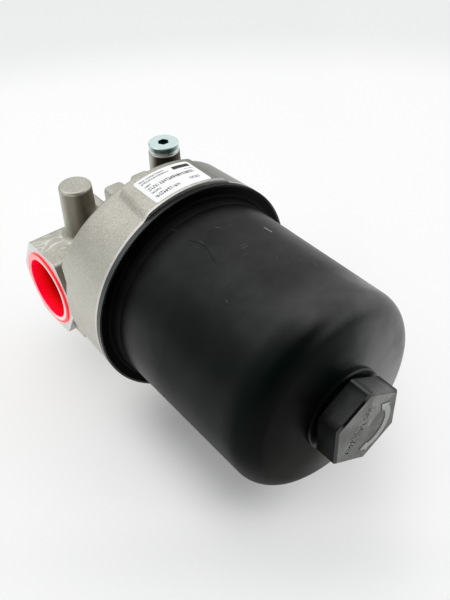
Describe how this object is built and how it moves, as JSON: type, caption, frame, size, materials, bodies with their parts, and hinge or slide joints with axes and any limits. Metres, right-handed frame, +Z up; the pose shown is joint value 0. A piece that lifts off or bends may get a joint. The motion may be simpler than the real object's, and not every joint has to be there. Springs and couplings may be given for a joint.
{
  "type": "inline suction filter",
  "caption": "Cast filter head with two inline ports, flat mounting foot and gauge bosses, and a screwed bowl with wrench hexagon around a pleated element.",
  "frame": {"origin": "centre of the mounting face under the foot", "axes": "+X from the inlet port to the outlet port, +Y along the bowl from its closed end to the head, +Z up from the mounting face to the gauge bosses"},
  "size_m": [0.128, 0.2266, 0.1301],
  "materials": {
    "cast_aluminium": "fine cast grain, machined at seat, ports and foot",
    "black_nylon": "satin moulding",
    "seal_rubber": "matt",
    "red_plug": "soft gloss",
    "zinc_steel": "zinc plated",
    "label_film": "printed film",
    "wire_cloth": "woven wire",
    "core_steel": "perforated sheet",
    "cap_nylon": "moulded",
    "spring_steel": "bright wire"
  },
  "bodies": {
    "head": {"filter_head": "cast_aluminium", "gauge_port_screw": "zinc_steel", "gauge_port_washer": "zinc_steel", "type_label": "label_film"},
    "inlet_plug": {"inlet_port_plug": "red_plug"},
    "outlet_plug": {"outlet_port_plug": "red_plug"},
    "element": {"element_pleats": "wire_cloth", "element_core": "core_steel", "element_upper_cap": "cap_nylon", "element_lower_cap": "cap_nylon", "element_seal": "seal_rubber", "bypass_cage": "zinc_steel", "bypass_spring": "spring_steel", "spring_cup": "zinc_steel", "support_spring": "spring_steel"},
    "bypass": {"bypass_valve": "zinc_steel", "bypass_seal": "seal_rubber", "bypass_nut": "zinc_steel"},
    "bowl": {"filter_bowl": "black_nylon", "bowl_seal": "seal_rubber"}
  },
  "joints": [
    {"name": "inlet_plug_pull", "type": "slide", "parent": "head", "child": "inlet_plug", "axis": [-1, 0, 0], "range_m": [0, 0.03]},
    {"name": "outlet_plug_pull", "type": "slide", "parent": "head", "child": "outlet_plug", "axis": [1, 0, 0], "range_m": [0, 0.03]},
    {"name": "bowl_lowering", "type": "slide", "parent": "head", "child": "element", "axis": [0, -1, 0], "range_m": [0, 0.012]},
    {"name": "bowl_unscrew", "type": "hinge", "parent": "element", "child": "bowl", "pos_m": [0, -0.0653, 0.064], "axis": [0, -1, 0], "range_deg": [0, 1080]},
    {"name": "bypass_lift", "type": "slide", "parent": "element", "child": "bypass", "axis": [0, 1, 0], "range_m": [0, 0.006], "stiffness_N_per_m": 1400, "springref_m": -0.008, "deforming": ["bypass_spring"]}
  ],
  "couplings": [
    {"joint": "bowl_lowering", "follows": "bowl_unscrew", "m_per_rad": 0.0006366}
  ]
}
